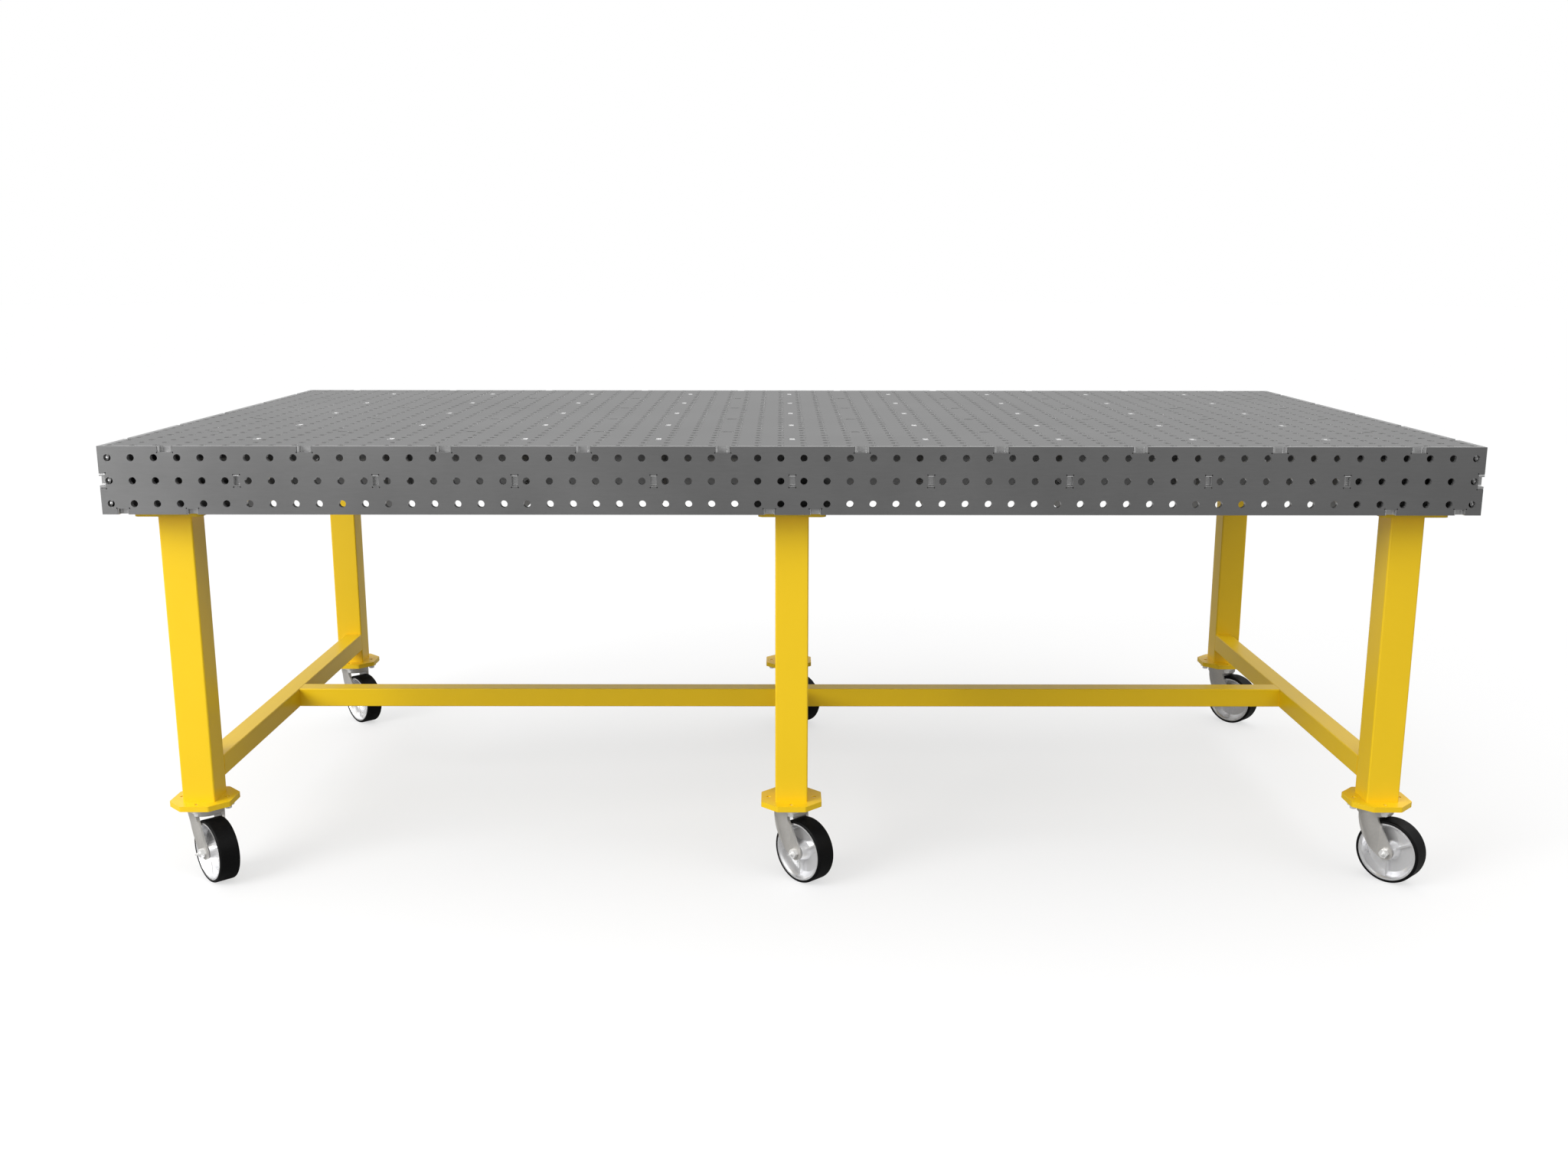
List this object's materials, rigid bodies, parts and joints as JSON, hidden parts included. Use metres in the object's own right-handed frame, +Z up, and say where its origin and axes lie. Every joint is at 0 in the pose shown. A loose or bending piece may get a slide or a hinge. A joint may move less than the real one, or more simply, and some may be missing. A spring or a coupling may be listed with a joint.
{
  "type": "welding table",
  "caption": "Long perforated steel welding table with a slotted plate skirt, ribbed underside, square tube legs, stretchers and swivel casters.",
  "frame": {"origin": "on the floor, directly under the middle of the table top", "axes": "+X along the long side to the right, +Y from the front to the back, +Z up"},
  "size_m": [3.0396, 1.5156, 1.047],
  "materials": {
    "table_steel": "bare laser cut plate, satin",
    "yellow_paint": "smooth satin powder coat",
    "zinc_plate": "zinc plated pressed steel",
    "zinc_fasteners": "zinc plated",
    "bearing_steel": "polished",
    "wheel_metal": "polished casting",
    "tread_rubber": "matt black"
  },
  "bodies": {
    "table": {"top_plate_left": "table_steel", "top_plate_right": "table_steel", "front_skirt": "table_steel", "back_skirt": "table_steel", "left_skirt": "table_steel", "right_skirt": "table_steel", "cross_ribs": "table_steel", "middle_cross_rib": "table_steel", "long_ribs": "table_steel", "leg_mount_plates": "table_steel", "leg_flanges": "yellow_paint", "foot_plates": "yellow_paint", "cross_stretcher_left": "yellow_paint", "cross_stretcher_middle": "yellow_paint", "cross_stretcher_right": "yellow_paint", "long_stretcher_left": "yellow_paint", "long_stretcher_right": "yellow_paint", "leg_bolts": "zinc_fasteners", "caster_bolts": "zinc_fasteners", "caster_plates": "zinc_plate", "kingpins": "zinc_plate", "swivel_balls": "bearing_steel", "leg_front_left": "yellow_paint", "leg_front_middle": "yellow_paint", "leg_front_right": "yellow_paint", "leg_back_left": "yellow_paint", "leg_back_middle": "yellow_paint", "leg_back_right": "yellow_paint"},
    "swivel_front_left": {"fork_front_left": "zinc_plate", "axle_front_left": "zinc_fasteners"},
    "wheel_front_left": {"wheel_core_front_left": "wheel_metal", "tread_front_left": "tread_rubber", "rollers_front_left": "bearing_steel"},
    "swivel_front_middle": {"fork_front_middle": "zinc_plate", "axle_front_middle": "zinc_fasteners"},
    "wheel_front_middle": {"wheel_core_front_middle": "wheel_metal", "tread_front_middle": "tread_rubber", "rollers_front_middle": "bearing_steel"},
    "swivel_front_right": {"fork_front_right": "zinc_plate", "axle_front_right": "zinc_fasteners"},
    "wheel_front_right": {"wheel_core_front_right": "wheel_metal", "tread_front_right": "tread_rubber", "rollers_front_right": "bearing_steel"},
    "swivel_back_left": {"fork_back_left": "zinc_plate", "axle_back_left": "zinc_fasteners"},
    "wheel_back_left": {"wheel_core_back_left": "wheel_metal", "tread_back_left": "tread_rubber", "rollers_back_left": "bearing_steel"},
    "swivel_back_middle": {"fork_back_middle": "zinc_plate", "axle_back_middle": "zinc_fasteners"},
    "wheel_back_middle": {"wheel_core_back_middle": "wheel_metal", "tread_back_middle": "tread_rubber", "rollers_back_middle": "bearing_steel"},
    "swivel_back_right": {"fork_back_right": "zinc_plate", "axle_back_right": "zinc_fasteners"},
    "wheel_back_right": {"wheel_core_back_right": "wheel_metal", "tread_back_right": "tread_rubber", "rollers_back_right": "bearing_steel"}
  },
  "joints": [
    {"name": "caster_swivel_front_left", "type": "hinge", "parent": "table", "child": "swivel_front_left", "pos_m": [-1.397, -0.635, 0.15], "axis": [0, 0, 1], "continuous": true},
    {"name": "wheel_roll_front_left", "type": "hinge", "parent": "swivel_front_left", "child": "wheel_front_left", "pos_m": [-1.36575, -0.66793, 0.0757], "axis": [0.7254, 0.6884, 0], "continuous": true},
    {"name": "caster_swivel_front_middle", "type": "hinge", "parent": "table", "child": "swivel_front_middle", "pos_m": [0, -0.635, 0.15], "axis": [0, 0, 1], "continuous": true},
    {"name": "wheel_roll_front_middle", "type": "hinge", "parent": "swivel_front_middle", "child": "wheel_front_middle", "pos_m": [0.03125, -0.66793, 0.0757], "axis": [0.7254, 0.6884, 0], "continuous": true},
    {"name": "caster_swivel_front_right", "type": "hinge", "parent": "table", "child": "swivel_front_right", "pos_m": [1.397, -0.635, 0.15], "axis": [0, 0, 1], "continuous": true},
    {"name": "wheel_roll_front_right", "type": "hinge", "parent": "swivel_front_right", "child": "wheel_front_right", "pos_m": [1.42825, -0.66793, 0.0757], "axis": [0.7254, 0.6884, 0], "continuous": true},
    {"name": "caster_swivel_back_left", "type": "hinge", "parent": "table", "child": "swivel_back_left", "pos_m": [-1.397, 0.635, 0.15], "axis": [0, 0, 1], "continuous": true},
    {"name": "wheel_roll_back_left", "type": "hinge", "parent": "swivel_back_left", "child": "wheel_back_left", "pos_m": [-1.36575, 0.60207, 0.0757], "axis": [0.7254, 0.6884, 0], "continuous": true},
    {"name": "caster_swivel_back_middle", "type": "hinge", "parent": "table", "child": "swivel_back_middle", "pos_m": [0, 0.635, 0.15], "axis": [0, 0, 1], "continuous": true},
    {"name": "wheel_roll_back_middle", "type": "hinge", "parent": "swivel_back_middle", "child": "wheel_back_middle", "pos_m": [0.03125, 0.60207, 0.0757], "axis": [0.7254, 0.6884, 0], "continuous": true},
    {"name": "caster_swivel_back_right", "type": "hinge", "parent": "table", "child": "swivel_back_right", "pos_m": [1.397, 0.635, 0.15], "axis": [0, 0, 1], "continuous": true},
    {"name": "wheel_roll_back_right", "type": "hinge", "parent": "swivel_back_right", "child": "wheel_back_right", "pos_m": [1.42825, 0.60207, 0.0757], "axis": [0.7254, 0.6884, 0], "continuous": true}
  ]
}
